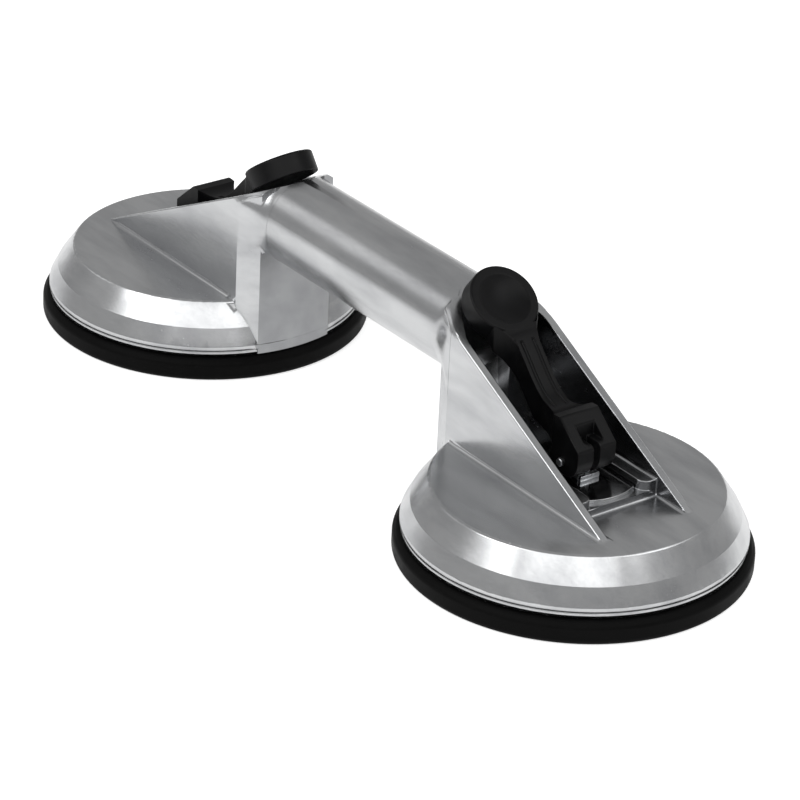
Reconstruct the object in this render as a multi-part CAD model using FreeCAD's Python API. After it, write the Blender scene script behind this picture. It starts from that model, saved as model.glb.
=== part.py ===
"""Twin-cup suction lifter for floor tiles: one die-cast aluminium body with a hollow grip tube
between two suction cups, and in each cup a rubber pad lifted by a lever with two cam lobes.

Millimetres, +Z up, X along the grip.  The origin is on the floor, half-way between the cups.
Every piece of a cup is drawn once about that cup's own axis, with +x pointing away from the
grip, and then placed at both ends.
"""
import FreeCAD
import Part
import math
import os

V = FreeCAD.Vector

# ---------------------------------------------------------------- driving dimensions
cup_spacing = 216.4        # axis to axis
pad_radius = 60.0          # rubber pad, outside
tube_radius = 16.4         # grip tube, outside
tube_wall = 3.0
tube_height = 58.7         # axis of the grip above the floor

# cup housing, outside
skirt_bottom = 8.8
skirt_radius = 56.9        # in the groove of the skirt
band_radius = 57.7         # widest, a little above it
band_height = 12.4
shoulder_radius = 54.6     # where the band turns into the cone
shoulder_height = 18.5
deck_radius = 48.8         # the flat deck on top
deck_height = 26.7
cup_wall = 3.2
bead_radius = 57.4         # bead round the foot of the skirt, a groove above it
bead_height = 1.2
bead_slant = 0.4
deck_edge = 1.5            # rounding where deck and cone meet
shoulder_edge = 1.0
band_edge = 1.0
corner_share = 0.6         # the cone's inner corners stand back by this share of the wall

# ramp tower on each cup
cheek_outer = 19.2         # half the width over the two cheeks
cheek_wall = 3.0
cheek_toe = 36.3           # the cheeks' toe, outward of the cup's axis
ramp_angle = 26.4          # degrees, the cheeks' upper edge
arch_shoulder = 5.0        # the walls stay upright this far above the grip's axis
cheek_end = -46.5          # here the cheeks begin to taper towards the grip
tower_corner_x = -55.5
tower_corner_y = 15.3
tower_wall = 3.2           # curved wall under the grip

# machined seat between the cheeks
seat_height = 2.5          # above the deck
seat_front = 20.6          # outward of the cup's axis
rail_inner = 10.3          # half the width between the two rails
rail_height = 3.4          # above the seat
rail_corner = 3.6
seat_back = -26.0

# polished cover plate and wear plate
cover_radius = 19.4
cover_thickness = 1.2
cover_gap = 0.3            # free space to each rail
cover_back = -22.0
wear_width = 7.8
wear_front = 4.6
wear_back = -10.0
wear_thickness = 1.8

# tie blade, pivot pin
blade_thickness = 2.0
blade_half = 4.5           # half its width, and the radius of its eye
blade_gap = 0.3            # free space each side of the blade
shoulder_step = 2.6        # the blade's shoulders on the pad plate
shoulder_rise = 3.0
pin_radius = 1.5
pin_clearance = 0.05       # radial, in the blade's eye
pin_overhang = 0.9         # how far the pin shows at each side of the lever
pin_height = 36.4
pin_chamfer = 0.3

# cam lobes of the lever
toe_reach = 8.8            # pin axis to the lever's end wall: the lift when upright
cam_gap = 0.2              # free space between lobe and wear plate
swing = 90.0               # degrees from folded to upright

# lever, side view
wall_top = 43.2            # top of the end wall
ridge_front = (-1.6, 51.9)  # (x, z) of the block's ridge
ridge_back = (-5.0, 51.6)
arm_dip = (-10.5, 50.2)    # the arm's upper face sags between ridge and knob
arm_rise = (-21.0, 56.2)
heel_x = -6.0              # back of the foot
heel_rise = 6.0
hock = (-20.0, 43.0)       # underside of the arm, above the heel

# lever, plan view
lever_half = 8.0           # half the width of its block
block_x = -5.0             # full width from here on
flare_x = -15.0            # the arm widens from here to the block
flare_sag = 1.4            # hollow of that flare
neck_half = 4.4
neck_x = -29.0             # from here the arm widens to the knob
root_x = -36.5             # and meets it
root_half = 9.2
root_sag = 0.9

# thumb knob
knob_x = -43.0
knob_z = 75.6              # centre of its upper face
knob_tilt = 38.0           # degrees
knob_radius = 12.5
knob_flare = 0.3           # it is this much wider below
knob_depth = 7.7
knob_edge = 0.8
dish_radius = 9.3
dish_depth = 2.4

# window in the block, the slot below it and two grooves along the arm
window_half = 3.95
window_x0 = 1.6
window_x1 = 6.2
window_depth = 5.0
slot_room = 0.4            # extra free space round the blade's eye
groove_width = 1.1
groove_depth = 0.7
groove_offset = 2.3        # its middle, from the arm's middle
groove_start = 0.18        # where they begin and end, as shares of the arm's upper curve
groove_end = 0.88

# rubber pad and its plate
pad_rim_height = 8.0
pad_web = 3.5              # thickness of the web
pad_lip = 46.0             # inner radius of the sealing rim
pad_hollow = 0.8           # the web stands this far off the floor
pad_bevel = 1.0
pad_lip_slant = 2.0
pad_land = 1.5             # flat ring inside the skirt, then the rubber falls to the web
pad_fall = 5.0
pad_gap = 0.3              # free space between rubber and skirt
plate_radius = 30.0
plate_thickness = 1.6
plate_hub = 12.0
plate_hub_rise = 1.4
plate_chamfer = 0.4

# return spring
spring_radius = 8.6        # to the wire's centre
wire_radius = 0.8
spring_turns = 4.0
spring_steps = 12          # facets of one turn, and of the wire's section
wire_sides = 8
spring_gap = 0.05

# guide boss and ribs under the deck
boss_radius = 12.5
boss_drop = 5.5
rib_count = 8
rib_thickness = 2.4
rib_drop = 4.0
rib_foot = 13.4            # the ribs run down the cone's inside to here

# drawing aids
over = 1.0                 # cutting tools reach this far past the metal
sunk = 0.5                 # joined shapes reach this far into each other
tiny = 1e-6                # positions closer than this are the same
curve_steps = 12           # points along the cam lobe and along the grooves

# ---------------------------------------------------------------- derived sizes
half_spacing = cup_spacing / 2
skirt_inner = skirt_radius - cup_wall
bore_radius = tube_radius - tube_wall
cheek_inner = cheek_outer - cheek_wall
ramp = math.radians(ramp_angle)
seat_top = deck_height + seat_height
rail_top = seat_top + rail_height
cover_top = seat_top + cover_thickness
wear_top = cover_top + wear_thickness
fold_reach = pin_height - wear_top          # pin axis above the wear plate, lever folded
lift = toe_reach - fold_reach               # rise of the pad's centre, lever upright
slot_half = blade_thickness / 2 + blade_gap
slot_reach = blade_half + blade_gap
ceiling = deck_height - cup_wall            # underside of the deck
boss_bottom = ceiling - boss_drop
back_radius = math.hypot(tower_corner_x, tower_corner_y)
pad_web_top = pad_hollow + pad_web
plate_top = pad_web_top + plate_thickness
hub_top = plate_top + plate_hub_rise


# ---------------------------------------------------------------- helpers
def face(points):
    """A flat face from a closed list of corner points."""
    return Part.Face(Part.makePolygon(points + [points[0]]))


def prism_y(outline, y0, y1):
    """A side-view outline of (x, z) points, extruded from y0 to y1."""
    return face([V(x, y0, z) for x, z in outline]).extrude(V(0, y1 - y0, 0))


def prism_z(outline, z0, z1):
    """A plan outline of (x, y) points, extruded from z0 to z1."""
    return face([V(x, y, z0) for x, y in outline]).extrude(V(0, 0, z1 - z0))


def turned(outline):
    """A solid of revolution about the cup's axis from an (r, z) outline."""
    return face([V(r, 0, z) for r, z in outline]).revolve(V(0, 0, 0), V(0, 0, 1), 360)


def box(x0, x1, y0, y1, z0, z1):
    return Part.makeBox(x1 - x0, y1 - y0, z1 - z0, V(x0, y0, z0))


def cylinder_z(radius, z0, z1):
    return Part.makeCylinder(radius, z1 - z0, V(0, 0, z0))


def rims(shape, radius, z):
    """The shape's round edges of one radius and height about the cup's axis."""
    return [e for e in shape.Edges if isinstance(e.Curve, Part.Circle)
            and abs(e.Curve.Radius - radius) < tiny and abs(e.Curve.Center.z - z) < tiny]


def upright(shape, x, y):
    """The shape's upright edges at one plan position."""
    return [e for e in shape.Edges if all(abs(v.X - x) < tiny and abs(v.Y - y) < tiny for v in e.Vertexes)]


def outline_face(edges):
    """A flat face from the straight and curved edges round it, in any order."""
    return Part.Face(Part.Wire(Part.__sortEdges__(edges)))


def placed(shape, side):
    """The cup-frame shape at the +X cup (side 1) or, turned half round, at the -X cup (side -1)."""
    copy = shape.copy()
    if side < 0:
        copy.rotate(V(0, 0, 0), V(0, 0, 1), 180)
    copy.translate(V(side * half_spacing, 0, 0))
    return copy


def ramp_z(x):
    """Height of the cheeks' sloping edge."""
    return deck_height + math.tan(ramp) * (cheek_toe - x)


# ---------------------------------------------------------------- die-cast body
def cup_shell():
    """Hollow housing of one cup, with ribs and a guide boss under its deck."""
    shell = turned([(0, skirt_bottom), (bead_radius, skirt_bottom), (bead_radius, skirt_bottom + bead_height),
                    (skirt_radius, skirt_bottom + bead_height + bead_slant),
                    (band_radius, skirt_bottom + bead_height + 2 * bead_slant),
                    (band_radius, band_height), (shoulder_radius, shoulder_height),
                    (deck_radius, deck_height), (0, deck_height)])
    for rounding, radius, z in ((deck_edge, deck_radius, deck_height),
                                (shoulder_edge, shoulder_radius, shoulder_height),
                                (band_edge, band_radius, band_height)):
        shell = shell.makeFillet(rounding, rims(shell, radius, z))
    slant = cup_wall * corner_share
    shell = shell.cut(turned([(0, skirt_bottom - over), (skirt_inner, skirt_bottom - over),
                              (skirt_inner, band_height),
                              (shoulder_radius - cup_wall, shoulder_height - slant),
                              (deck_radius - slant, ceiling), (0, ceiling)]))
    ribs = []
    for k in range(rib_count):
        rib = prism_y([(0, ceiling + sunk), (0, ceiling - rib_drop),
                       (deck_radius - slant, ceiling - rib_drop), (shoulder_radius, rib_foot),
                       (shoulder_radius, shoulder_height - slant), (deck_radius - slant, ceiling + sunk)],
                      -rib_thickness / 2, rib_thickness / 2)
        rib.rotate(V(0, 0, 0), V(0, 0, 1), 360 / rib_count * (k + 0.5))
        ribs.append(rib)
    boss = cylinder_z(boss_radius, boss_bottom, ceiling + sunk)
    return shell.multiFuse(ribs + [boss])


def tower_plan(inset):
    """Plan of the tower: two cheeks, two tapers and the curved wall concentric with the cup."""
    radius = back_radius - inset
    half = cheek_outer - inset
    corner_y = tower_corner_y - inset
    corner_x = -math.sqrt(radius ** 2 - corner_y ** 2)
    points = [V(cheek_toe, half, 0), V(cheek_end, half, 0), V(corner_x, corner_y, 0)]
    mirrored = [V(p.x, -p.y, 0) for p in points]
    edges = [Part.Arc(points[-1], V(-radius, 0, 0), mirrored[-1]).toShape()]
    for path in (points, mirrored, (points[0], mirrored[0])):
        edges += [Part.LineSegment(a, b).toShape() for a, b in zip(path, path[1:])]
    return outline_face(edges)


def arch(half, rise):
    """Straight walls and a half ellipse above them, running along X."""
    spring_line = tube_height + arch_shoulder
    turn = FreeCAD.Matrix(0, 0, 1, -back_radius - over, 1, 0, 0, 0, 0, 1, 0, spring_line, 0, 0, 0, 1)
    ellipse = Part.Ellipse(V(0, 0, 0), half, rise - arch_shoulder).toShape().transformGeometry(turn)
    top = Part.Face(Part.Wire(ellipse)).extrude(V(back_radius + over + cheek_toe, 0, 0))
    return top.fuse(box(-back_radius - over, cheek_toe, -half, half, 0, spring_line))


def tower():
    """One ramp tower, before its channel is cut."""
    far = back_radius + over
    walls = tower_plan(0).extrude(V(0, 0, tube_height + tube_radius + over))
    below_ramp = prism_y([(cheek_toe, deck_height), (-far, ramp_z(-far)), (-far, skirt_bottom),
                          (tower_corner_x + cup_wall, skirt_bottom),
                          (-deck_radius, deck_height - deck_edge), (cheek_toe, deck_height - deck_edge)],
                         -cheek_outer - over, cheek_outer + over)
    return walls.common(arch(cheek_outer, tube_radius)).common(below_ramp)


def channel():
    """The space between the cheeks, arched over where it runs in under the grip."""
    space = tower_plan(cheek_wall).extrude(V(0, 0, 2 * tube_height)).common(arch(cheek_inner, bore_radius))
    return space.cut(box(-back_radius, cheek_toe, -cheek_inner, cheek_inner, 0, deck_height))


def seat():
    """Raised seat on the deck with a rail along each cheek."""
    side = cheek_inner + sunk
    base = deck_height - sunk
    rails = []
    for sign in (1, -1):
        y0, y1 = sorted((sign * rail_inner, sign * side))
        rail = box(seat_back, seat_front, y0, y1, base, rail_top)
        rails.append(rail.makeFillet(rail_corner, upright(rail, seat_front, sign * rail_inner)))
    return box(seat_back, seat_front, -side, side, base, seat_top).multiFuse(rails)


def body_casting():
    """Both cups, both towers and the grip in one piece."""
    grip_half = half_spacing + tower_corner_x + tower_wall
    grip = Part.makeCylinder(tube_radius, 2 * grip_half, V(-grip_half, 0, tube_height), V(1, 0, 0))
    far = -back_radius - 2 * tube_radius
    above_ramp = prism_y([(far, ramp_z(far)), (0, ramp_z(0)), (0, 2 * tube_height), (far, 2 * tube_height)],
                         -tube_radius - over, tube_radius + over)
    reach = half_spacing - 2 * cup_wall
    bore = Part.makeCylinder(bore_radius, 2 * reach, V(-reach, 0, tube_height), V(1, 0, 0))
    slot = box(-slot_reach, slot_reach, -slot_half, slot_half, boss_bottom - over, seat_top + over)

    def at_both(shape):
        return [placed(shape, side) for side in (1, -1)]

    body = grip.cut(Part.makeCompound(at_both(above_ramp)))
    body = body.multiFuse(at_both(cup_shell()) + at_both(tower()))
    body = body.cut(Part.makeCompound(at_both(channel())))
    body = body.multiFuse(at_both(seat())).cut(bore)
    return body.cut(Part.makeCompound(at_both(slot))).removeSplitter()


# ---------------------------------------------------------------- plates on the seat
def cover_plate():
    """Polished plate with a round front between the rails."""
    half = rail_inner - cover_gap
    front = cylinder_z(cover_radius, seat_top, cover_top)
    front = front.common(box(0, cover_radius, -half, half, seat_top, cover_top))
    plate = front.fuse(box(cover_back, 0, -half, half, seat_top, cover_top))
    slot = box(-slot_reach, slot_reach, -slot_half, slot_half, seat_top - over, cover_top + over)
    return plate.cut(slot).removeSplitter()


def wear_plate():
    """Small steel plate under the cam lobes."""
    plate = box(wear_back, wear_front, -wear_width / 2, wear_width / 2, cover_top, wear_top)
    return plate.cut(box(-slot_reach, slot_reach, -slot_half, slot_half, cover_top - over, wear_top + over))


# ---------------------------------------------------------------- blade, pad, spring
def tie_blade():
    """Flat steel tie: an eye for the pin on top, shoulders and a riveted tenon below."""
    half = blade_half
    wide = blade_half + shoulder_step
    right = [(half, pad_web_top), (half, hub_top), (wide, hub_top), (wide, hub_top + shoulder_rise),
             (half, hub_top + shoulder_rise + shoulder_step), (half, pin_height)]
    y = blade_thickness / 2
    blade = prism_y(right + [(-x, z) for x, z in reversed(right)], -y, y)
    eye = Part.makeCylinder(half, 2 * y, V(0, -y, pin_height), V(0, 1, 0))
    hole = Part.makeCylinder(pin_radius + pin_clearance, 4 * y, V(0, -2 * y, pin_height), V(0, 1, 0))
    return blade.fuse(eye).cut(hole).removeSplitter()


def pad_plate():
    """Pressed steel disc bonded to the pad, with a raised hub that the blade is riveted through."""
    disc = turned([(0, pad_web_top), (plate_radius, pad_web_top), (plate_radius, plate_top - plate_chamfer),
                   (plate_radius - plate_chamfer, plate_top), (plate_hub, plate_top),
                   (plate_hub - plate_hub_rise, hub_top), (0, hub_top)])
    y = blade_thickness / 2
    return disc.cut(box(-blade_half, blade_half, -y, y, pad_web_top - over, hub_top + over))


def suction_pad():
    """Rubber disc: a thick rim outside the skirt, a sealing lip below and a thin web."""
    land = skirt_inner - pad_gap - pad_land
    step = skirt_bottom - pad_gap
    return turned([(0, pad_hollow), (pad_lip, pad_hollow), (pad_lip + pad_lip_slant, 0),
                   (pad_radius - pad_bevel, 0), (pad_radius, pad_bevel),
                   (pad_radius, pad_rim_height - pad_bevel), (pad_radius - pad_bevel, pad_rim_height),
                   (bead_radius + pad_gap, step), (land, step),
                   (land - pad_fall, pad_web_top), (0, pad_web_top)])


def return_spring():
    """Coil spring round the blade, from the plate's hub up to the guide boss.

    Its wire is a chain of flat facets, so that its mesh stays small and follows the solid.
    """
    low = hub_top + wire_radius + spring_gap
    climb = (boss_bottom - wire_radius - spring_gap - low) / spring_turns
    rings = []
    for k in range(int(spring_turns * spring_steps) + 1):
        turn = k / spring_steps
        angle = 2 * math.pi * turn
        out = V(math.cos(angle), math.sin(angle), 0)
        run = V(-out.y, out.x, climb / (2 * math.pi * spring_radius)).normalize()
        rise = out.cross(run)
        centre = out * spring_radius + V(0, 0, low + climb * turn)
        rings.append([centre + (out * math.cos(a) + rise * math.sin(a)) * wire_radius
                      for a in (2 * math.pi * j / wire_sides for j in range(wire_sides))])
    faces = [face(rings[0]), face(rings[-1])]
    for a, b in zip(rings, rings[1:]):
        for j in range(wire_sides):
            following = (j + 1) % wire_sides
            faces.append(face([a[j], a[following], b[following]]))
            faces.append(face([a[j], b[following], b[j]]))
    shell = Part.Shell(faces)
    shell.sewShape()
    spring = Part.Solid(shell)
    if spring.Volume < 0:
        spring.reverse()
    return spring


# ---------------------------------------------------------------- lever
def cam_outline():
    """Lobe in side view, from the folded flat to the end wall.

    Its distance from the pin grows evenly with the swing, so the lift follows the lever.
    """
    sweep = math.radians(swing)
    rate = lift / sweep
    points = []
    for k in range(curve_steps + 1):
        angle = sweep * k / curve_steps
        reach = fold_reach - cam_gap + rate * angle
        points.append((reach * math.sin(angle) + rate * math.cos(angle),
                       pin_height - reach * math.cos(angle) + rate * math.sin(angle)))
    return points


def on_knob_face(x, depth=0.0):
    """Point above x on the knob's upper face, or on the plane that far below it."""
    tilt = math.radians(knob_tilt)
    return V(x, 0, knob_z - math.tan(tilt) * (x - knob_x) - depth / math.cos(tilt))


def arm_top():
    """Upper face of the arm in side view, from the block's ridge to the knob's rim."""
    rim = on_knob_face(knob_x + knob_radius * math.cos(math.radians(knob_tilt)))
    curve = Part.BSplineCurve()
    curve.interpolate([V(x, 0, z) for x, z in (ridge_back, arm_dip, arm_rise)] + [rim])
    return curve


def lever_side():
    """Side view of block and arm as a face."""
    cam = [V(x, 0, z) for x, z in cam_outline()]
    lobe = Part.BSplineCurve()
    lobe.interpolate(cam)
    top = arm_top()
    foot = cam[0].z
    front = [cam[-1], V(cam[-1].x, 0, wall_top), V(ridge_front[0], 0, ridge_front[1]), top.StartPoint]
    rear = [top.EndPoint, on_knob_face(knob_x), on_knob_face(knob_x, knob_depth),
            on_knob_face(root_x, knob_depth), V(hock[0], 0, hock[1]),
            V(heel_x, 0, foot + heel_rise), V(heel_x, 0, foot), cam[0]]
    edges = [lobe.toShape(), top.toShape()]
    for path in (front, rear):
        edges += [Part.LineSegment(a, b).toShape() for a, b in zip(path, path[1:])]
    return outline_face(edges)


def sagging_arc(a, b, sag):
    """Arc between two plan points, hollow by sag towards the lever's middle."""
    return Part.Arc(a, V((a.x + b.x) / 2, (abs(a.y + b.y) / 2 - sag) * (1 if a.y > 0 else -1), 0), b)


def lever_plan():
    """Plan view of block and arm, with a hollow flare at each end of the neck, as a face."""
    front = toe_reach + lift
    edges = []
    for sign in (1, -1):
        nose, shoulder, neck, waist, root, end = [V(x, sign * y, 0) for x, y in (
            (front, lever_half), (block_x, lever_half), (flare_x, neck_half), (neck_x, neck_half),
            (root_x, root_half), (knob_x, root_half))]
        edges += [Part.LineSegment(a, b).toShape() for a, b in ((nose, shoulder), (neck, waist), (root, end))]
        edges += [sagging_arc(shoulder, neck, flare_sag).toShape(),
                  sagging_arc(waist, root, root_sag).toShape()]
    edges += [Part.LineSegment(V(x, y, 0), V(x, -y, 0)).toShape()
              for x, y in ((front, lever_half), (knob_x, root_half))]
    return outline_face(edges)


def lever_blank():
    """Block and arm: the side view cut to the plan view."""
    side = lever_side()
    side.translate(V(0, -knob_radius, 0))
    return side.extrude(V(0, 2 * knob_radius, 0)).common(lever_plan().extrude(V(0, 0, knob_z)))


def knob():
    """Round thumb knob, wider below, its rim rounded and its face dished."""
    solid = turned([(0, -knob_depth), (knob_radius + knob_flare, -knob_depth), (knob_radius, 0), (0, 0)])
    solid = solid.makeFillet(knob_edge, rims(solid, knob_radius, 0))
    ball = (dish_radius ** 2 + dish_depth ** 2) / (2 * dish_depth)
    solid = solid.cut(Part.makeSphere(ball, V(0, 0, ball - dish_depth)))
    solid.rotate(V(0, 0, 0), V(0, 1, 0), knob_tilt)
    solid.translate(V(knob_x, 0, knob_z))
    return solid


def lever_cuts():
    """Window with its funnel, the slot and slit for the blade, and the two grooves along the arm."""
    slope = (ridge_front[1] - wall_top) / (ridge_front[0] - toe_reach)
    floor_z = wall_top + slope * (window_x0 - toe_reach) - window_depth
    past = toe_reach + over
    window = box(window_x0, window_x1, -window_half, window_half, floor_z, knob_z)
    funnel = prism_z([(window_x1, window_half), (window_x1, -window_half), (toe_reach, -slot_half),
                      (past, -slot_half), (past, slot_half), (toe_reach, slot_half)], floor_z, knob_z)
    eye_room = slot_reach + slot_room
    slot = box(-eye_room, past, -slot_half, slot_half, cover_top, pin_height + eye_room)
    slit = box(window_x0, past, -slot_half, slot_half, pin_height, floor_z + window_depth)
    cuts = [window, funnel, slot, slit]
    curve = arm_top()
    shares = [groove_start + (groove_end - groove_start) * k / curve_steps for k in range(curve_steps + 1)]
    line = [curve.value(curve.LastParameter * share) for share in shares]
    outline = [(p.x, p.z - groove_depth) for p in line] + [(p.x, p.z + knob_depth) for p in reversed(line)]
    return cuts + [prism_y(outline, middle - groove_width / 2, middle + groove_width / 2)
                   for middle in (groove_offset, -groove_offset)]


def lever():
    """Moulded lever: forked foot with cam lobes, waisted arm and thumb knob."""
    blank = lever_blank().fuse(knob())
    pin_bore = Part.makeCylinder(pin_radius, 4 * lever_half, V(0, -2 * lever_half, pin_height), V(0, 1, 0))
    for cut in lever_cuts() + [pin_bore]:
        blank = blank.cut(cut)
    return blank.removeSplitter()


def pivot_pin():
    length = 2 * (lever_half + pin_overhang)
    pin = Part.makeCylinder(pin_radius, length, V(0, -length / 2, pin_height), V(0, 1, 0))
    return pin.makeChamfer(pin_chamfer, [e for e in pin.Edges if len(e.Vertexes) == 1])


# ---------------------------------------------------------------- write the pieces
def main():
    os.makedirs("parts", exist_ok=True)
    pieces = {"body_casting": body_casting()}
    makers = {"suction_pad": suction_pad, "pad_plate": pad_plate, "tie_blade": tie_blade,
              "return_spring": return_spring, "cover_plate": cover_plate, "wear_plate": wear_plate,
              "lever": lever, "pivot_pin": pivot_pin}
    for name, make in makers.items():
        shape = make()
        for side, suffix in ((1, "right"), (-1, "left")):
            pieces[name + "_" + suffix] = placed(shape, side)
    for node, shape in pieces.items():
        if len(shape.Solids) != 1 or not shape.isValid():
            raise ValueError("%s: %d solids, valid %s" % (node, len(shape.Solids), shape.isValid()))
        shape.Solids[0].exportStep("parts/%s.step" % node)
        print("%-22s %8.0f mm3" % (node, shape.Volume))


main()
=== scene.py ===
"""Twin-cup suction lifter for floor tiles: smooth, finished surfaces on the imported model."""
import itertools
import math

import bmesh
import bpy
from mathutils import Matrix, Vector


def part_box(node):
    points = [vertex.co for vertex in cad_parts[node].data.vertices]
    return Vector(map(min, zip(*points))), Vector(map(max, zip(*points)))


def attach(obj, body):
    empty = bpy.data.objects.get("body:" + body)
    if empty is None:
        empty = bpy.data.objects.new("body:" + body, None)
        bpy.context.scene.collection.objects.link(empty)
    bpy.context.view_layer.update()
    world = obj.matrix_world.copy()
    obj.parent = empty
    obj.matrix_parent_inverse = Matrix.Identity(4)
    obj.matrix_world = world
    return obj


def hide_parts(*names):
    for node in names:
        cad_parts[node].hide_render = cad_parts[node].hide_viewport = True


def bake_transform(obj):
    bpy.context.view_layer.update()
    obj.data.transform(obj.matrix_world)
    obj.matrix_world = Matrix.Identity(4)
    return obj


bl_info = {
    "name": "Suction Lifter",
    "version": (1, 0, 0),
    "blender": (4, 5, 0),
    "location": "View3D > Sidebar > Lifter",
    "description": "Dresses the packed suction lifter: casting, pads, levers and steel parts",
    "category": "Add Mesh",
}

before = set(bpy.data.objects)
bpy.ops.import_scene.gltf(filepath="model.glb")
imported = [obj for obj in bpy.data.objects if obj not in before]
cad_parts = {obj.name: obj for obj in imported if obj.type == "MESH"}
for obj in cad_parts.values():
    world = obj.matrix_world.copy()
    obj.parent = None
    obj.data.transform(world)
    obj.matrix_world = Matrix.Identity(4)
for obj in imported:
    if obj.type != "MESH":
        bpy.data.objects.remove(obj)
MM = 0.001
SIDES = ("right", "left")
LAMPS = (("key", 52, 46, 1.3, 1.3, 0.6, 1.65),
         ("edge", -8, 44, 1.3, 0.7, 0.45, 4.0),
         ("side", 112, 44, 1.3, 0.7, 0.45, 1.8),
         ("left", -58, 33, 1.4, 0.5, 0.4, 0.6),
         ("back", 140, 50, 1.3, 0.5, 0.5, 0.9))


# ---------------------------------------------------------------- colours and nodes
def linear(hex_code):
    """sRGB hex such as "C8C9CA" as a linear RGBA colour."""
    parts = [int(hex_code[i:i + 2], 16) / 255 for i in (0, 2, 4)]
    return tuple(c / 12.92 if c <= 0.04045 else ((c + 0.055) / 1.055) ** 2.4 for c in parts) + (1.0,)


def add(tree, kind, settings=(), inputs=(), links=()):
    """One node: settings are attributes, inputs socket values, links sockets of other nodes."""
    made = tree.nodes.new("ShaderNode" + kind)
    for key, value in dict(settings).items():
        setattr(made, key, value)
    for key, value in dict(inputs).items():
        made.inputs[key].default_value = value
    for key, source in dict(links).items():
        tree.links.new(source, made.inputs[key])
    return made


def ramp(tree, source, stops):
    """Colour ramp through (position, linear colour) stops."""
    made = add(tree, "ValToRGB", links={"Fac": source})
    band = made.color_ramp
    while len(band.elements) < len(stops):
        band.elements.new(0.5)
    for element, (place, colour) in zip(band.elements, stops):
        element.position = place
        element.color = colour
    return made.outputs["Color"]


def span(tree, source, low, high, lowest=0.0, highest=1.0):
    """Maps lowest..highest of a value to low..high."""
    made = add(tree, "MapRange", inputs={"From Min": lowest, "From Max": highest, "To Min": low, "To Max": high},
               links={"Value": source})
    return made.outputs["Result"]


def grain(tree, place, size_mm, detail=2.0, stretch=(1.0, 1.0, 1.0)):
    """Noise whose features are about size_mm long; stretch lengthens them along an axis."""
    mapped = add(tree, "Mapping", inputs={"Scale": [1 / s for s in stretch]}, links={"Vector": place})
    return add(tree, "TexNoise", inputs={"Scale": 1 / (size_mm * MM), "Detail": detail, "Roughness": 0.55},
               links={"Vector": mapped.outputs["Vector"]}).outputs["Fac"]


def new_material(name, **values):
    """Material with one Principled shader; gives (material, tree, shader, Object coordinates)."""
    made = bpy.data.materials.new(name)
    made.use_nodes = True
    tree = made.node_tree
    tree.nodes.clear()
    shader = add(tree, "BsdfPrincipled", inputs=values)
    add(tree, "OutputMaterial", links={"Surface": shader.outputs["BSDF"]})
    place = add(tree, "TexCoord").outputs["Object"]
    return made, tree, shader, place


def bump(tree, shader, height, depth_mm, strength=1.0):
    made = add(tree, "Bump", inputs={"Distance": depth_mm * MM, "Strength": strength}, links={"Height": height})
    tree.links.new(made.outputs["Normal"], shader.inputs["Normal"])
    return made


# ---------------------------------------------------------------- materials
def die_cast_aluminium(colour):
    """Die-cast aluminium, tumbled with fine media: silver-grey and satin, with soft cloudy patches."""
    made, tree, shader, place = new_material("die_cast_aluminium", Metallic=1.0)
    cloud = grain(tree, place, 11, 4.0, (4.0, 1.0, 1.0))
    fine = grain(tree, place, 0.9, 2.0, (3.0, 1.0, 1.0))
    tumbled = ramp(tree, cloud, [(0.32, linear(colour.dull)), (0.62, linear(colour.bright))])
    # painted shade: the base colour is darkened between the towers' cheeks and on the wall behind them, where shade
    # and dark reflections fall in these recesses
    painted_shade = add(tree, "Attribute", {"attribute_name": "painted_shade"}).outputs["Fac"]
    skin = add(tree, "Mix", {"data_type": "RGBA"}, inputs={7: linear(colour.painted_shade)}, links={0: painted_shade, 6: tumbled})
    tree.links.new(skin.outputs[2], shader.inputs["Base Color"])
    satin = add(tree, "Math", {"operation": "ADD"}, links={0: span(tree, cloud, 0.04, 0.0, 0.3, 0.7),
                                                          1: span(tree, fine, 0.2, 0.24, 0.3, 0.7)})
    tree.links.new(satin.outputs["Value"], shader.inputs["Roughness"])
    bump(tree, shader, fine, 0.003, 0.6)
    return made


def nitrile_rubber(colour):
    """Moulded black nitrile rubber: dull black with a faint satin sheen and a cloudy bloom."""
    made, tree, shader, place = new_material("nitrile_rubber", **{"IOR": 1.52, "Specular IOR Level": 0.05})
    bloom = grain(tree, place, 9, 3.0)
    pores = grain(tree, place, 0.5, 2.0)
    tree.links.new(ramp(tree, bloom, [(0.35, linear(colour.rubber)), (0.75, linear(colour.bloom))]),
                   shader.inputs["Base Color"])
    tree.links.new(span(tree, bloom, 0.46, 0.6, 0.3, 0.7), shader.inputs["Roughness"])
    bump(tree, shader, pores, 0.015)
    return made


def black_nylon(colour):
    """Injection-moulded glass-filled nylon: black, semi-matt, with a fine eroded grain."""
    made, tree, shader, place = new_material("black_nylon", **{"IOR": 1.53, "Specular IOR Level": 0.15})
    cloud = grain(tree, place, 6, 2.0)
    fine = grain(tree, place, 0.35, 2.0)
    tree.links.new(ramp(tree, cloud, [(0.3, linear(colour.nylon)), (0.7, linear(colour.nylon_worn))]),
                   shader.inputs["Base Color"])
    tree.links.new(span(tree, cloud, 0.36, 0.46, 0.3, 0.7), shader.inputs["Roughness"])
    bump(tree, shader, fine, 0.012)
    return made


def buffed_stainless(colour):
    """Cold-rolled stainless sheet, buffed: a near mirror with hair-fine scratches along the grip."""
    made, tree, shader, place = new_material("buffed_stainless", Metallic=1.0)
    hair = grain(tree, place, 0.25, 2.0, (40.0, 1.0, 1.0))
    smear = grain(tree, place, 5, 2.0)
    shader.inputs["Base Color"].default_value = linear(colour.sheet)
    rough = add(tree, "Math", {"operation": "ADD"}, links={0: span(tree, hair, 0.08, 0.14, 0.3, 0.7),
                                                          1: span(tree, smear, 0.0, 0.06, 0.4, 0.8)})
    tree.links.new(rough.outputs["Value"], shader.inputs["Roughness"])
    bump(tree, shader, hair, 0.003, 0.5)
    return made


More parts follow.
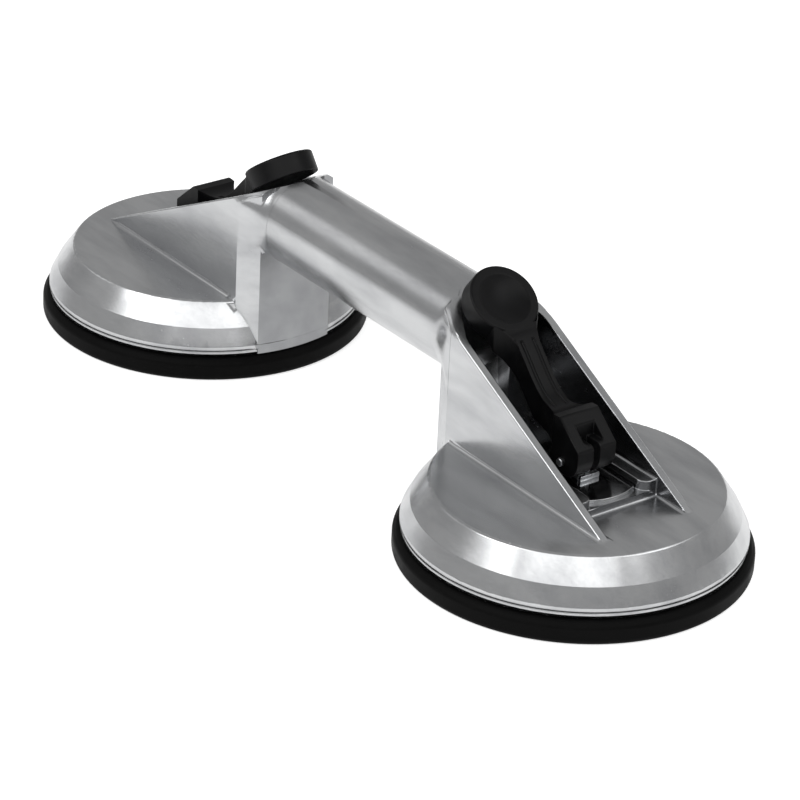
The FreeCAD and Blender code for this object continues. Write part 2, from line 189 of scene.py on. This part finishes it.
def zinc_plated_steel(colour):
    """Bright zinc-plated steel: cool grey, a soft shine and a faint crystalline mottle."""
    made, tree, shader, place = new_material("zinc_plated_steel", Metallic=1.0)
    mottle = grain(tree, place, 1.6, 3.0)
    tree.links.new(ramp(tree, mottle, [(0.35, linear(colour.zinc_dull)), (0.7, linear(colour.zinc))]),
                   shader.inputs["Base Color"])
    tree.links.new(span(tree, mottle, 0.24, 0.36, 0.3, 0.7), shader.inputs["Roughness"])
    bump(tree, shader, mottle, 0.006, 0.5)
    return made


def oiled_spring_wire(colour):
    """Drawn spring wire, oiled: dark grey metal with drawing lines."""
    made, tree, shader, place = new_material("oiled_spring_wire", Metallic=1.0)
    draw = grain(tree, place, 0.3, 2.0, (1.0, 1.0, 6.0))
    tree.links.new(ramp(tree, draw, [(0.3, linear(colour.wire)), (0.7, linear(colour.wire_worn))]),
                   shader.inputs["Base Color"])
    tree.links.new(span(tree, draw, 0.28, 0.4, 0.3, 0.7), shader.inputs["Roughness"])
    bump(tree, shader, draw, 0.004, 0.5)
    return made


def white_floor(colour):
    """Matt white board; what the lens and the metal see of it is lifted to paper white."""
    made, tree, shader, place = new_material("white_floor", Roughness=0.9)
    shader.inputs["Base Color"].default_value = (0.9, 0.9, 0.9, 1)
    seen = add(tree, "LightPath")
    in_metal = span(tree, seen.outputs["Is Glossy Ray"], 0.0, 0.45)
    lift = add(tree, "Math", {"operation": "MAXIMUM"},
               links={0: span(tree, seen.outputs["Is Camera Ray"], 0.0, 0.65), 1: in_metal})
    shader.inputs["Emission Color"].default_value = (1, 1, 1, 1)
    tree.links.new(lift.outputs["Value"], shader.inputs["Emission Strength"])
    return made


# ---------------------------------------------------------------- mesh tools
def object_from(bm, name):
    mesh = bpy.data.meshes.new(name)
    bm.to_mesh(mesh)
    bm.free()
    made = bpy.data.objects.new(name, mesh)
    bpy.context.scene.collection.objects.link(made)
    return made


def merged_copy(node, drop=None):
    """The CAD node's surface, welded and with its flat faces joined, without the triangles to drop."""
    bm = bmesh.new()
    bm.from_mesh(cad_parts[node].data)
    bmesh.ops.remove_doubles(bm, verts=bm.verts, dist=0.002 * MM)
    if drop:
        bmesh.ops.delete(bm, geom=[f for f in bm.faces if drop(f)], context="FACES")
    bmesh.ops.dissolve_limit(bm, angle_limit=math.radians(0.3), verts=bm.verts, edges=bm.edges)
    return bm


def smooth_by_angle(bm, degrees, skip=None):
    """Smooth shading with creases where faces meet at more than the angle, but none on skipped edges."""
    for face in bm.faces:
        face.smooth = True
    for edge in bm.edges:
        edge.smooth = edge.calc_face_angle(0.0) < math.radians(degrees) or bool(skip and skip(edge))


def weigh_edges(bm, width_mm, hollow=1.0, only=None):
    """Marks the creases to round: full width where there is room beside them, less near short edges.

    Inner corners are rounded by hollow times the width, as the radii of a mould are.
    """
    weight = bm.edges.layers.float.new("bevel_weight_edge")
    most = max(hollow, 1.0) * width_mm
    sharp = {e for e in bm.edges if not e.smooth}
    for edge in (e for e in sharp if only is None or only(e)):
        wish = (1.0 if edge.is_convex or edge.calc_length() < 12 * MM else hollow) * width_mm * MM
        beside = [e.calc_length() for v in edge.verts for e in v.link_edges if e not in sharp]
        room = 0.45 * min(beside) if beside else wish
        edge[weight] = min(wish, room) / (most * MM)
    # one width along each run of edges, or their roundings would cross where they join
    for _ in range(12):
        for vert in bm.verts:
            marked = [e for e in vert.link_edges if e[weight] > 0]
            for a, b in itertools.combinations(marked, 2):
                bend = (a.other_vert(vert).co - vert.co).angle(b.other_vert(vert).co - vert.co)
                if bend > math.radians(135):
                    a[weight] = b[weight] = min(a[weight], b[weight])
    return most


def turned_about(centres, least_mm):
    """Test for edges between two faces turned about one of the upright axes, least_mm or more away."""
    def test(edge):
        middle = (edge.verts[0].co + edge.verts[1].co) / 2
        centre = min(centres, key=lambda x: abs(middle.x - x))
        arm = Vector((middle.x - centre, middle.y))
        if arm.length < least_mm * MM:
            return False
        for face in edge.link_faces:
            flat = face.normal.xy
            if flat.length > 0.05 and abs(flat.normalized().dot(arm.normalized())) < 0.985:
                return False
        return True
    return test


def rounded(piece, width_mm, segments=2):
    """Small rounding of the marked edges."""
    made = piece.modifiers.new("edge_rounding", "BEVEL")
    made.width = width_mm * MM
    made.segments = segments
    made.limit_method = "WEIGHT"
    made.use_clamp_overlap = False
    made.harden_normals = True
    weighted = piece.modifiers.new("flat_faces", "WEIGHTED_NORMAL")
    weighted.keep_sharp = True


def finish_piece(piece, body, material, nodes):
    piece.data.materials.clear()
    piece.data.materials.append(material)
    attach(piece, body)
    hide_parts(*nodes)


def dressed(node, name, body, material, width_mm, degrees=25, segments=2, hollow=1.0, skip=None,
            drop=None, only=None, mark=None):
    """A smooth, edge-rounded copy of a CAD node that stands for it, without the faces to drop."""
    bm = merged_copy(node, drop)
    smooth_by_angle(bm, degrees, skip)
    if mark:
        layer = bm.faces.layers.float.new(mark.__name__)
        for face in bm.faces:
            face[layer] = mark(face)
    width_mm = weigh_edges(bm, width_mm, hollow, only)
    piece = object_from(bm, name)
    rounded(piece, width_mm, segments)
    finish_piece(piece, body, material, [node])
    return piece


def turned(outline, centre_x, steps=128):
    """Closed (r, z) outline in metres spun round the vertical through centre_x."""
    bm = bmesh.new()
    verts = [bm.verts.new((r, 0, z)) for r, z in outline]
    edges = [bm.edges.new((a, b)) for a, b in zip(verts, verts[1:] + verts[:1])]
    bmesh.ops.spin(bm, geom=verts + edges, cent=(0, 0, 0), axis=(0, 0, 1), angle=2 * math.pi,
                   steps=steps, use_merge=True, use_duplicate=False)
    bmesh.ops.remove_doubles(bm, verts=bm.verts, dist=0.001 * MM)
    bmesh.ops.recalc_face_normals(bm, faces=bm.faces)
    bmesh.ops.translate(bm, verts=bm.verts, vec=(centre_x, 0, 0))
    return bm


def cup_place(side):
    """From a cup's own axes, +x away from the grip, to the model's."""
    place = Matrix.Translation((cup_x(side), 0, 0))
    return place if side == "right" else place @ Matrix.Rotation(math.pi, 4, "Z")


def cup_x(side):
    """X of a cup's axis, from the middle of its pad plate."""
    low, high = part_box("pad_plate_" + side)
    return (low.x + high.x) / 2


def arc(centre_r, centre_z, radius, start, end, steps=6):
    """Outline points of an arc between two angles in degrees."""
    angles = [math.radians(start + (end - start) * k / steps) for k in range(steps + 1)]
    return [(centre_r + radius * math.cos(a), centre_z + radius * math.sin(a)) for a in angles]


# ---------------------------------------------------------------- settings
class LifterColours(bpy.types.PropertyGroup):
    bright: bpy.props.StringProperty(name="Aluminium", description="Bright patches of the casting, hex", default="C4C5C6")
    # painted shade: the colour that the recesses between and behind the towers' cheeks are darkened to
    painted_shade: bpy.props.StringProperty(name="Pocket painted shade", description="Painted shade between and behind the towers' cheeks, hex", default="7C7D7F")
    dull: bpy.props.StringProperty(name="Dull aluminium", description="Dull patches of the casting, hex", default="ADAEB0")
    rubber: bpy.props.StringProperty(name="Rubber", description="Pads, hex", default="080808")
    bloom: bpy.props.StringProperty(name="Rubber bloom", description="Cloudy patches of the pads, hex", default="0D0D0D")
    nylon: bpy.props.StringProperty(name="Nylon", description="Levers, hex", default="060607")
    nylon_worn: bpy.props.StringProperty(name="Worn nylon", description="Lighter patches of the levers, hex", default="0B0B0C")
    sheet: bpy.props.StringProperty(name="Polished sheet", description="Cover plates, hex", default="CFD0D1")
    zinc: bpy.props.StringProperty(name="Zinc", description="Plated steel parts, hex", default="C9CBCD")
    zinc_dull: bpy.props.StringProperty(name="Dull zinc", description="Mottle of the plated parts, hex", default="AEB0B3")
    wire: bpy.props.StringProperty(name="Wire", description="Return springs, hex", default="6E6F72")
    wire_worn: bpy.props.StringProperty(name="Worn wire", description="Drawing lines of the springs, hex", default="8A8B8D")


class LifterSizes(bpy.types.PropertyGroup):
    casting_edge: bpy.props.FloatProperty(name="Casting edges", description="Rounding of the casting's edges",
                                          default=0.45 * MM, unit="LENGTH")
    nylon_edge: bpy.props.FloatProperty(name="Lever edges", description="Rounding of the lever's edges",
                                        default=0.5 * MM, unit="LENGTH")
    steel_edge: bpy.props.FloatProperty(name="Steel edges", description="Rounding of the sheet parts' edges",
                                        default=0.12 * MM, unit="LENGTH")
    knob_x: bpy.props.FloatProperty(name="Knob across", description="Middle of the knob's face, from the cup's axis",
                                    default=-43 * MM, unit="LENGTH")
    knob_z: bpy.props.FloatProperty(name="Knob height", description="Middle of the knob's face above the floor",
                                    default=75.6 * MM, unit="LENGTH")
    knob_tilt: bpy.props.FloatProperty(name="Knob tilt", description="Lean of the knob's face",
                                       default=math.radians(38), subtype="ANGLE")
    knob_radius: bpy.props.FloatProperty(name="Knob radius", description="Outside radius of the knob",
                                         default=12.5 * MM, unit="LENGTH")
    knob_depth: bpy.props.FloatProperty(name="Knob depth", description="Height of the knob's side wall",
                                        default=7.7 * MM, unit="LENGTH")
    knob_edge: bpy.props.FloatProperty(name="Knob edge", description="Rounding of the knob's rim",
                                       default=0.8 * MM, unit="LENGTH")
    dish_radius: bpy.props.FloatProperty(name="Dish radius", description="Radius of the thumb dish",
                                         default=9.3 * MM, unit="LENGTH")
    dish_depth: bpy.props.FloatProperty(name="Dish depth", description="Depth of the thumb dish",
                                        default=2.4 * MM, unit="LENGTH")
    rim_inner: bpy.props.FloatProperty(name="Rim inside", description="Radius where the pad's rim meets its web",
                                       default=46 * MM, unit="LENGTH")


def colours():
    return bpy.context.scene.lifter_colours


def sizes():
    return bpy.context.scene.lifter_sizes


def material(maker):
    """The finish made by maker, made once."""
    return bpy.data.materials.get(maker.__name__) or maker(colours())


# ---------------------------------------------------------------- operators
class LIFTER_OT_casting(bpy.types.Operator):
    """Both cups, the ramp towers and the grip tube in one die casting"""
    bl_idname = "lifter.casting"
    bl_label = "Body Casting"

    def execute(self, context):
        centres = [cup_x(side) for side in SIDES]
        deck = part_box("cover_plate_right")[0].z - 2.5 * MM
        slope = math.radians(26.4)
        uphill = Vector((math.sin(slope), 0, math.cos(slope)))

        def plain(edge):
            """Edges of the ramps' rims, of the seats and rails, and the feet of the cheeks."""
            middle = (edge.verts[0].co + edge.verts[1].co) / 2
            out = math.hypot(middle.x - math.copysign(centres[0], middle.x), middle.y)
            if out > 47 * MM or middle.z < deck - 0.1 * MM:
                return False
            normals = [Vector((math.copysign(1, middle.x) * f.normal.x, f.normal.y, f.normal.z))
                       for f in edge.link_faces]
            on_rim = any(n.dot(uphill) > 0.999 for n in normals)
            on_seat = middle.z < deck + 7 * MM and any(n.z > 0.99 for n in normals)
            upright = middle.z < deck + 7 * MM and all(abs(n.z) < 0.1 for n in normals)
            return on_rim or on_seat or upright

        def painted_shade(face):
            """How much painted shade a face gets: all between a tower's cheeks, some on the wall behind it."""
            middle = face.calc_center_median()
            out = abs(middle.x) - abs(centres[0])
            if out < 0 and abs(middle.y) < 16 * MM and abs(math.hypot(out, middle.y) - 57.6 * MM) < 0.6 * MM:
                return 0.65
            inside = abs(middle.y) < 16.4 * MM and middle.z > deck + 0.2 * MM and -54 * MM < out < 37 * MM
            return float(inside and face.normal.z < 0.2)

        dressed("body_casting", "casting_skin", "frame", material(die_cast_aluminium),
                sizes().casting_edge / MM, 20, hollow=2.6, skip=turned_about(centres, 44),
                only=plain, mark=painted_shade)
        return {"FINISHED"}


def smoothstep(value):
    value = min(max(value, 0), 1)
    return value * value * (3 - 2 * value)


def neck_y(x, z):
    """Half width in mm of the neck, where a tower's cheek flows into the grip, at cup-frame x and z."""
    cheek = 19.2 if z < 63.7 else 19.2 * math.sqrt(max(0, 1 - ((z - 63.7) / 11.4) ** 2))
    grip = math.sqrt(max(0, 16.4 ** 2 - (z - 58.7) ** 2))
    cast = max(min(cheek, 19.2 + 0.4333 * (x + 46.5)), grip) if x > -55.5 else grip
    flow = smoothstep((-46.6 - x) / 13.4)
    wish = cheek + (grip - cheek) * flow
    return 0.04 + cast + max(0, wish - cast) * smoothstep((z - 43) / 9)


def rear_wall(side):
    """Even skin of the wall behind a tower, 0.03 mm proud of it."""
    bm = bmesh.new()
    half = math.asin(15.3 / 57.6)
    start = Matrix.Rotation(math.pi - half, 4, "Z")
    ends = [bm.verts.new(start @ Vector((57.6, 0, z)) * MM) for z in (8.8, 50)]
    line = bm.edges.new(ends)
    bmesh.ops.spin(bm, geom=ends + [line], cent=(0, 0, 0), axis=(0, 0, 1), angle=2 * half, steps=24,
                   use_merge=False, use_duplicate=False)
    bmesh.ops.transform(bm, matrix=cup_place(side), verts=bm.verts)
    outward = -1 if side == "right" else 1
    if sum(f.normal.x for f in bm.faces) * outward < 0:
        bmesh.ops.reverse_faces(bm, faces=bm.faces)
    smooth_by_angle(bm, 30)
    # painted shade: the whole wall behind the tower gets 0.65 of the darkened colour
    layer = bm.faces.layers.float.new("painted_shade")
    for face in bm.faces:
        face[layer] = 0.65
    piece = object_from(bm, "rear_wall_" + side)
    finish_piece(piece, "frame", material(die_cast_aluminium), ["body_casting"])


class LIFTER_OT_necks(bpy.types.Operator):
    """Blends from the towers into the grip, and the roots of the cheeks on the cups' cones"""
    bl_idname = "lifter.necks"
    bl_label = "Necks"

    def execute(self, context):
        for side in SIDES:
            rear_wall(side)
            for sign, flank in ((-1, "a"), (1, "b")):
                bm = bmesh.new()
                bmesh.ops.create_grid(bm, x_segments=30, y_segments=36, size=0.5)
                for vert in bm.verts:
                    x = -46.55 - (vert.co.x + 0.5) * 13.4
                    top = 26.7 + math.tan(math.radians(26.4)) * (36.3 - x) - 0.1
                    z = 43 + (vert.co.y + 0.5) * (top - 43)
                    vert.co = Vector((x, sign * neck_y(x, z), z)) * MM
                bmesh.ops.recalc_face_normals(bm, faces=bm.faces)
                if sum(f.normal.y for f in bm.faces) * sign < 0:
                    bmesh.ops.reverse_faces(bm, faces=bm.faces)
                bmesh.ops.transform(bm, matrix=cup_place(side), verts=bm.verts)
                smooth_by_angle(bm, 60)
                piece = object_from(bm, "neck_%s_%s" % (side, flank))
                finish_piece(piece, "frame", material(die_cast_aluminium), ["body_casting"])

                bm = bmesh.new()
                hollow = [(19.15, 26.65), (20.8, 26.65)] + arc(20.8, 28.3, 1.6, 270, 180, 8) + [(19.15, 28.3)]
                end = bm.faces.new([bm.verts.new(Vector((-42, sign * y, z)) * MM) for y, z in hollow])
                for travel, shrink in ((70, 1), (7.8, 0.08)):
                    raised = bmesh.ops.extrude_face_region(bm, geom=[end])["geom"]
                    end = next(f for f in raised if isinstance(f, bmesh.types.BMFace))
                    corner = Matrix.Translation(Vector((0, sign * 19.15, 26.65)) * -MM)
                    bmesh.ops.scale(bm, vec=(1, shrink, shrink), space=corner, verts=end.verts)
                    bmesh.ops.translate(bm, vec=(travel * MM, 0, 0), verts=end.verts)
                bmesh.ops.recalc_face_normals(bm, faces=bm.faces)
                bmesh.ops.transform(bm, matrix=cup_place(side), verts=bm.verts)
                smooth_by_angle(bm, 40)
                piece = object_from(bm, "fillet_%s_%s" % (side, flank))
                finish_piece(piece, "frame", material(die_cast_aluminium), ["body_casting"])

                bm = bmesh.new()
                plan = [(-44, 19.19), (-46.5, 19.19), (-50.5, 17.45), (-50.5, 14), (-44, 14)]
                foot = bm.faces.new([bm.verts.new((x * MM, sign * y * MM, 18 * MM)) for x, y in plan])
                raised = bmesh.ops.extrude_face_region(bm, geom=[foot])["geom"]
                bmesh.ops.translate(bm, vec=(0, 0, 7.3 * MM),
                                    verts=[v for v in raised if isinstance(v, bmesh.types.BMVert)])
                bmesh.ops.recalc_face_normals(bm, faces=bm.faces)
                bmesh.ops.transform(bm, matrix=cup_place(side), verts=bm.verts)
                piece = object_from(bm, "root_%s_%s" % (side, flank))
                finish_piece(piece, "frame", material(die_cast_aluminium), ["body_casting"])
        return {"FINISHED"}


class LIFTER_OT_pads(bpy.types.Operator):
    """Rubber pads: a thick rim that stays on the floor and a web that the plate pulls up"""
    bl_idname = "lifter.pads"
    bl_label = "Suction Pads"

    def execute(self, context):
        for side in SIDES:
            low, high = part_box("suction_pad_" + side)
            radius, top = (high.x - low.x) / 2, high.z - 0.5 * MM
            centre = (high.x + low.x) / 2
            split = sizes().rim_inner
            skirt_inner = radius - 6.5 * MM
            web_low = 2.6 * MM
            web_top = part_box("pad_plate_" + side)[0].z - 0.05 * MM
            rim = [(split, 0.8 * MM), (split + 2 * MM, 0), (radius - 1.2 * MM, 0), (radius, 1.3 * MM),
                   (radius, top - 1.6 * MM), (radius - 1.6 * MM, top), (radius - 2.7 * MM, top + 0.35 * MM),
                   (skirt_inner, top + 0.35 * MM), (split + 4 * MM, 3.6 * MM), (split, 2.6 * MM)]
            bm = turned(rim, centre)
            smooth_by_angle(bm, 60)
            for edge in bm.edges:
                edge.smooth = edge.calc_face_angle(0.0) < math.radians(20)
            weigh_edges(bm, 0.7)
            piece = object_from(bm, "pad_rim_" + side)
            rounded(piece, 0.7, 4)
            finish_piece(piece, "frame", material(nitrile_rubber), ["suction_pad_" + side])

            web = [(0.001 * MM, web_low), (split - 14 * MM, web_low), (split - 6 * MM, 1.5 * MM), (split - 0.02 * MM, 0.9 * MM),
                   (split - 0.02 * MM, 2.4 * MM), (split - 6 * MM, 3.2 * MM), (split - 14 * MM, web_top),
                   (0.001 * MM, web_top)]
            bm = turned(web, centre)
            smooth_by_angle(bm, 60)
            piece = object_from(bm, "pad_web_" + side)
            piece.data.materials.append(material(nitrile_rubber))
            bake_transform(piece)
            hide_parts("suction_pad_" + side)
        return {"FINISHED"}


class LIFTER_OT_springs(bpy.types.Operator):
    """Return springs between the pad plates and the casting"""
    bl_idname = "lifter.springs"
    bl_label = "Return Springs"

    def execute(self, context):
        for side in SIDES:
            node = "return_spring_" + side
            bm = merged_copy(node)
            smooth_by_angle(bm, 50)
            piece = object_from(bm, "spring_" + side)
            piece.data.materials.append(material(oiled_spring_wire))
            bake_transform(piece)
            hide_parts(node)
        return {"FINISHED"}


class LIFTER_OT_levers(bpy.types.Operator):
    """Black levers: forked foot, waisted arm and dished thumb knob"""
    bl_idname = "lifter.levers"
    bl_label = "Levers"

    def execute(self, context):
        size = sizes()
        radius, depth, edge = size.knob_radius, size.knob_depth, size.knob_edge
        dish, sag = size.dish_radius, size.dish_depth
        ball = (dish ** 2 + sag ** 2) / (2 * sag)
        lean = math.degrees(math.asin(dish / ball))
        # the face stands 0.02 mm proud, so that it hides the end of the arm
        outline = [(0.001 * MM, -depth)] + arc(radius - edge / 2, edge / 2 - depth, edge / 2, -90, 0, 3)
        outline += arc(radius - edge, -edge, edge, 0, 90)
        outline += arc(0, ball - sag, ball, lean - 90, -89.99, 16)
        for side in SIDES:
            place = cup_place(side) @ Matrix.Translation((size.knob_x, 0, size.knob_z))
            place = place @ Matrix.Rotation(size.knob_tilt, 4, "Y")
            back = place.inverted()
            place = place @ Matrix.Translation((0, 0, 0.02 * MM))

            def in_knob(face):
                inside = [back @ v.co for v in face.verts]
                return all(p.xy.length < radius + 0.5 * MM and -depth - 0.1 * MM < p.z < 0.1 * MM for p in inside)

            out_of_cup = cup_place(side).inverted()

            def clear(edge):
                """Edges away from the block's rear shoulders, where four creases meet."""
                ends = [(out_of_cup @ v.co) / MM for v in edge.verts]
                return not any(abs(p.x + 5) < 1.5 and abs(p.y) > 6.5 and p.z > 49 for p in ends)

            dressed("lever_" + side, "lever_skin_" + side, "lever_" + side, material(black_nylon),
                    size.nylon_edge / MM, 22, 3, drop=in_knob, only=clear)
            bm = turned(outline, 0)
            bmesh.ops.transform(bm, matrix=place, verts=bm.verts)
            smooth_by_angle(bm, 22)
            width_mm = weigh_edges(bm, 0.3)
            piece = object_from(bm, "knob_" + side)
            rounded(piece, width_mm, 3)
            finish_piece(piece, "lever_" + side, material(black_nylon), ["lever_" + side])
        return {"FINISHED"}


class LIFTER_OT_steel(bpy.types.Operator):
    """Cover and wear plates on the seats, tie blades, pad plates and pivot pins"""
    bl_idname = "lifter.steel"
    bl_label = "Steel Parts"

    def execute(self, context):
        edge = sizes().steel_edge / MM
        for side in SIDES:
            dressed("cover_plate_" + side, "cover_sheet_" + side, "frame", material(buffed_stainless),
                    edge)
            dressed("wear_plate_" + side, "wear_strip_" + side, "frame", material(zinc_plated_steel),
                    edge)
            bm = bmesh.new()
            bmesh.ops.create_cube(bm, size=1)
            bmesh.ops.scale(bm, vec=Vector((1.35, 7.9, 1.9)) * MM, verts=bm.verts)
            bmesh.ops.translate(bm, vec=Vector((5.38, 0, 31.3)) * MM, verts=bm.verts)
            bmesh.ops.bevel(bm, geom=bm.edges, offset=0.25 * MM, affect="EDGES", segments=2, profile=0.5,
                            material=-1)
            bmesh.ops.transform(bm, matrix=cup_place(side), verts=bm.verts)
            smooth_by_angle(bm, 60)
            finish_piece(object_from(bm, "wear_lip_" + side), "frame", material(zinc_plated_steel),
                         ["wear_plate_" + side])
            dressed("tie_blade_" + side, "tie_strip_" + side, "plunger_" + side, material(zinc_plated_steel),
                    edge)
            dressed("pad_plate_" + side, "pad_disc_" + side, "plunger_" + side, material(zinc_plated_steel),
                    edge)
            dressed("pivot_pin_" + side, "pin_" + side, "lever_" + side, material(zinc_plated_steel),
                    edge)
        return {"FINISHED"}


def direction(azimuth, elevation):
    """Unit vector towards a compass direction; azimuth 0 is -Y, 90 is +X, elevation 0 is level."""
    turn, rise = math.radians(azimuth), math.radians(elevation)
    return Vector((math.sin(turn) * math.cos(rise), -math.cos(turn) * math.cos(rise), math.sin(rise)))


class LIFTER_OT_stage(bpy.types.Operator):
    """White floor, soft lamps, sky and camera"""
    bl_idname = "lifter.stage"
    bl_label = "Stage"

    def execute(self, context):
        scene = context.scene
        scene.view_settings.view_transform = "Standard"
        bm = bmesh.new()
        bmesh.ops.create_grid(bm, x_segments=1, y_segments=1, size=4.0)
        floor = object_from(bm, "floor")
        floor.data.materials.append(material(white_floor))

        world = bpy.data.worlds.new("studio")
        scene.world = world
        world.use_nodes = True
        world.node_tree.nodes["Background"].inputs["Color"].default_value = (1, 1, 1, 1)
        # the sky is white to the lens and dimmer to the metal
        seen = add(world.node_tree, "LightPath")
        world.node_tree.links.new(span(world.node_tree, seen.outputs["Is Camera Ray"], 0.43, 1.0),
                                  world.node_tree.nodes["Background"].inputs["Strength"])

        # name, azimuth, elevation, distance and size in metres, brightness seen in a reflection
        for name, azimuth, elevation, distance, wide, high, bright in LAMPS:
            lamp = bpy.data.lights.new(name, "AREA")
            lamp.shape = "RECTANGLE"
            lamp.size, lamp.size_y = wide, high
            lamp.energy = bright * math.pi * wide * high
            lamp_object = bpy.data.objects.new(name, lamp)
            scene.collection.objects.link(lamp_object)
            back = direction(azimuth, elevation)
            lamp_object.location = back * distance
            lamp_object.rotation_mode = "QUATERNION"
            lamp_object.rotation_quaternion = back.to_track_quat("Z", "Y")

        camera = bpy.data.cameras.new("camera")
        camera_object = bpy.data.objects.new("camera", camera)
        scene.collection.objects.link(camera_object)
        camera.sensor_width = 36
        camera.lens = 168.98
        back = direction(52.0867, 27.2201)
        level = back.to_track_quat("Z", "Y").to_matrix().to_4x4()
        place = Vector((-10.368, 17.152, 0)) * MM + back * 1.333053
        camera_object.matrix_world = Matrix.Translation(place) @ level @ Matrix.Rotation(0.049284, 4, "Z")
        camera.clip_start, camera.clip_end = 0.05, 20
        scene.camera = camera_object
        return {"FINISHED"}


class LIFTER_PT_panel(bpy.types.Panel):
    bl_idname = "LIFTER_PT_panel"
    bl_label = "Suction Lifter"
    bl_space_type = "VIEW_3D"
    bl_region_type = "UI"
    bl_category = "Lifter"

    def draw(self, context):
        for group in (context.scene.lifter_sizes, context.scene.lifter_colours):
            for name in group.__annotations__:
                self.layout.prop(group, name)
        for operator in OPERATORS:
            self.layout.operator(operator.bl_idname)


OPERATORS = (LIFTER_OT_casting, LIFTER_OT_necks, LIFTER_OT_pads, LIFTER_OT_springs, LIFTER_OT_levers, LIFTER_OT_steel,
             LIFTER_OT_stage)
GROUPS = {"lifter_colours": LifterColours, "lifter_sizes": LifterSizes}


def register():
    for group in GROUPS.values():
        bpy.utils.register_class(group)
    for name, group in GROUPS.items():
        setattr(bpy.types.Scene, name, bpy.props.PointerProperty(type=group))
    for made in OPERATORS + (LIFTER_PT_panel,):
        bpy.utils.register_class(made)


def unregister():
    for made in (LIFTER_PT_panel,) + OPERATORS[::-1]:
        bpy.utils.unregister_class(made)
    for name, group in GROUPS.items():
        delattr(bpy.types.Scene, name)
        bpy.utils.unregister_class(group)


def main():
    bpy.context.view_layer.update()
    register()
    for operator in OPERATORS:
        call = getattr(bpy.ops.lifter, operator.bl_idname.split(".")[1])
        call()


if __name__ == "__main__":
    main()
